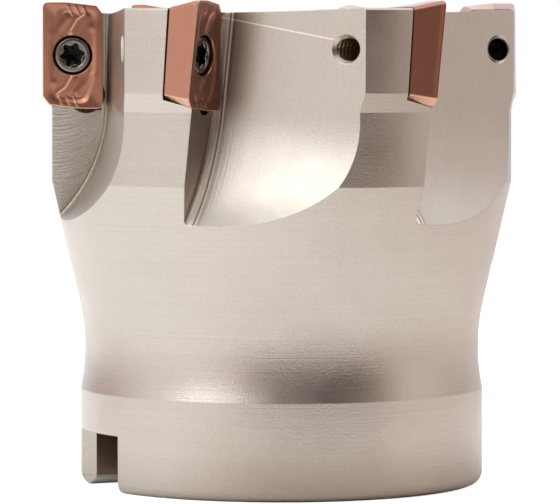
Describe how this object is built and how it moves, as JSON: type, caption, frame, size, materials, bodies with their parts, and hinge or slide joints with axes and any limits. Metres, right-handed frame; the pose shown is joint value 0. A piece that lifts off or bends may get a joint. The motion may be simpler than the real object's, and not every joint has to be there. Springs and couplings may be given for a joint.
{
  "type": "face mill",
  "caption": "Shell-type face mill: waisted steel body with leaning chip gullets, screwed-in coated inserts, an arbor bore and drive slots across its mounting face.",
  "frame": {"origin": "on the cutter's axis, in the plane of the mounting face", "axes": "+Z along the axis from the mounting face to the cutting end; the drive slots run along X"},
  "size_m": [0.049, 0.0486, 0.05],
  "materials": {
    "nickel_steel": "satin nickel plating over turned and milled steel, with fine turning lines",
    "coated_carbide": "satin copper-coloured hard coating on carbide",
    "dark_screw_steel": "hardened screw steel, dark in the recess and bright on the worn rim"
  },
  "bodies": {
    "cutter_body": {"cutter_body": "nickel_steel"},
    "insert_1": {"insert_1": "coated_carbide"},
    "insert_2": {"insert_2": "coated_carbide"},
    "insert_3": {"insert_3": "coated_carbide"},
    "insert_4": {"insert_4": "coated_carbide"},
    "insert_5": {"insert_5": "coated_carbide"},
    "insert_6": {"insert_6": "coated_carbide"},
    "insert_screw_1": {"insert_screw_1": "dark_screw_steel"},
    "insert_screw_2": {"insert_screw_2": "dark_screw_steel"},
    "insert_screw_3": {"insert_screw_3": "dark_screw_steel"},
    "insert_screw_4": {"insert_screw_4": "dark_screw_steel"},
    "insert_screw_5": {"insert_screw_5": "dark_screw_steel"},
    "insert_screw_6": {"insert_screw_6": "dark_screw_steel"}
  },
  "joints": [
    {"name": "insert_1_lift", "type": "slide", "parent": "cutter_body", "child": "insert_1", "axis": [-0.6584, 0.7494, -0.0698], "range_m": [0, 0.0036]},
    {"name": "insert_screw_1_turn", "type": "hinge", "parent": "insert_1", "child": "insert_screw_1", "pos_m": [0.01527, 0.01565, 0.04455], "axis": [-0.6584, 0.7494, -0.0698], "range_deg": [0, 2881]},
    {"name": "insert_2_lift", "type": "slide", "parent": "cutter_body", "child": "insert_2", "axis": [-0.9782, -0.1955, -0.0698], "range_m": [0, 0.0036]},
    {"name": "insert_screw_2_turn", "type": "hinge", "parent": "insert_2", "child": "insert_screw_2", "pos_m": [-0.00592, 0.02105, 0.04455], "axis": [-0.9782, -0.1955, -0.0698], "range_deg": [0, 2881]},
    {"name": "insert_3_lift", "type": "slide", "parent": "cutter_body", "child": "insert_3", "axis": [-0.3198, -0.9449, -0.0698], "range_m": [0, 0.0036]},
    {"name": "insert_screw_3_turn", "type": "hinge", "parent": "insert_3", "child": "insert_screw_3", "pos_m": [-0.02119, 0.0054, 0.04455], "axis": [-0.3198, -0.9449, -0.0698], "range_deg": [0, 2881]},
    {"name": "insert_4_lift", "type": "slide", "parent": "cutter_body", "child": "insert_4", "axis": [0.6584, -0.7494, -0.0698], "range_m": [0, 0.0036]},
    {"name": "insert_screw_4_turn", "type": "hinge", "parent": "insert_4", "child": "insert_screw_4", "pos_m": [-0.01527, -0.01565, 0.04455], "axis": [0.6584, -0.7494, -0.0698], "range_deg": [0, 2881]},
    {"name": "insert_5_lift", "type": "slide", "parent": "cutter_body", "child": "insert_5", "axis": [0.9782, 0.1955, -0.0698], "range_m": [0, 0.0036]},
    {"name": "insert_screw_5_turn", "type": "hinge", "parent": "insert_5", "child": "insert_screw_5", "pos_m": [0.00592, -0.02105, 0.04455], "axis": [0.9782, 0.1955, -0.0698], "range_deg": [0, 2881]},
    {"name": "insert_6_lift", "type": "slide", "parent": "cutter_body", "child": "insert_6", "axis": [0.3198, 0.9449, -0.0698], "range_m": [0, 0.0036]},
    {"name": "insert_screw_6_turn", "type": "hinge", "parent": "insert_6", "child": "insert_screw_6", "pos_m": [0.02119, -0.0054, 0.04455], "axis": [0.3198, 0.9449, -0.0698], "range_deg": [0, 2881]}
  ],
  "couplings": [
    {"joint": "insert_screw_1_turn", "follows": "insert_1_lift", "rad_per_m": 13963},
    {"joint": "insert_screw_2_turn", "follows": "insert_2_lift", "rad_per_m": 13963},
    {"joint": "insert_screw_3_turn", "follows": "insert_3_lift", "rad_per_m": 13963},
    {"joint": "insert_screw_4_turn", "follows": "insert_4_lift", "rad_per_m": 13963},
    {"joint": "insert_screw_5_turn", "follows": "insert_5_lift", "rad_per_m": 13963},
    {"joint": "insert_screw_6_turn", "follows": "insert_6_lift", "rad_per_m": 13963}
  ]
}
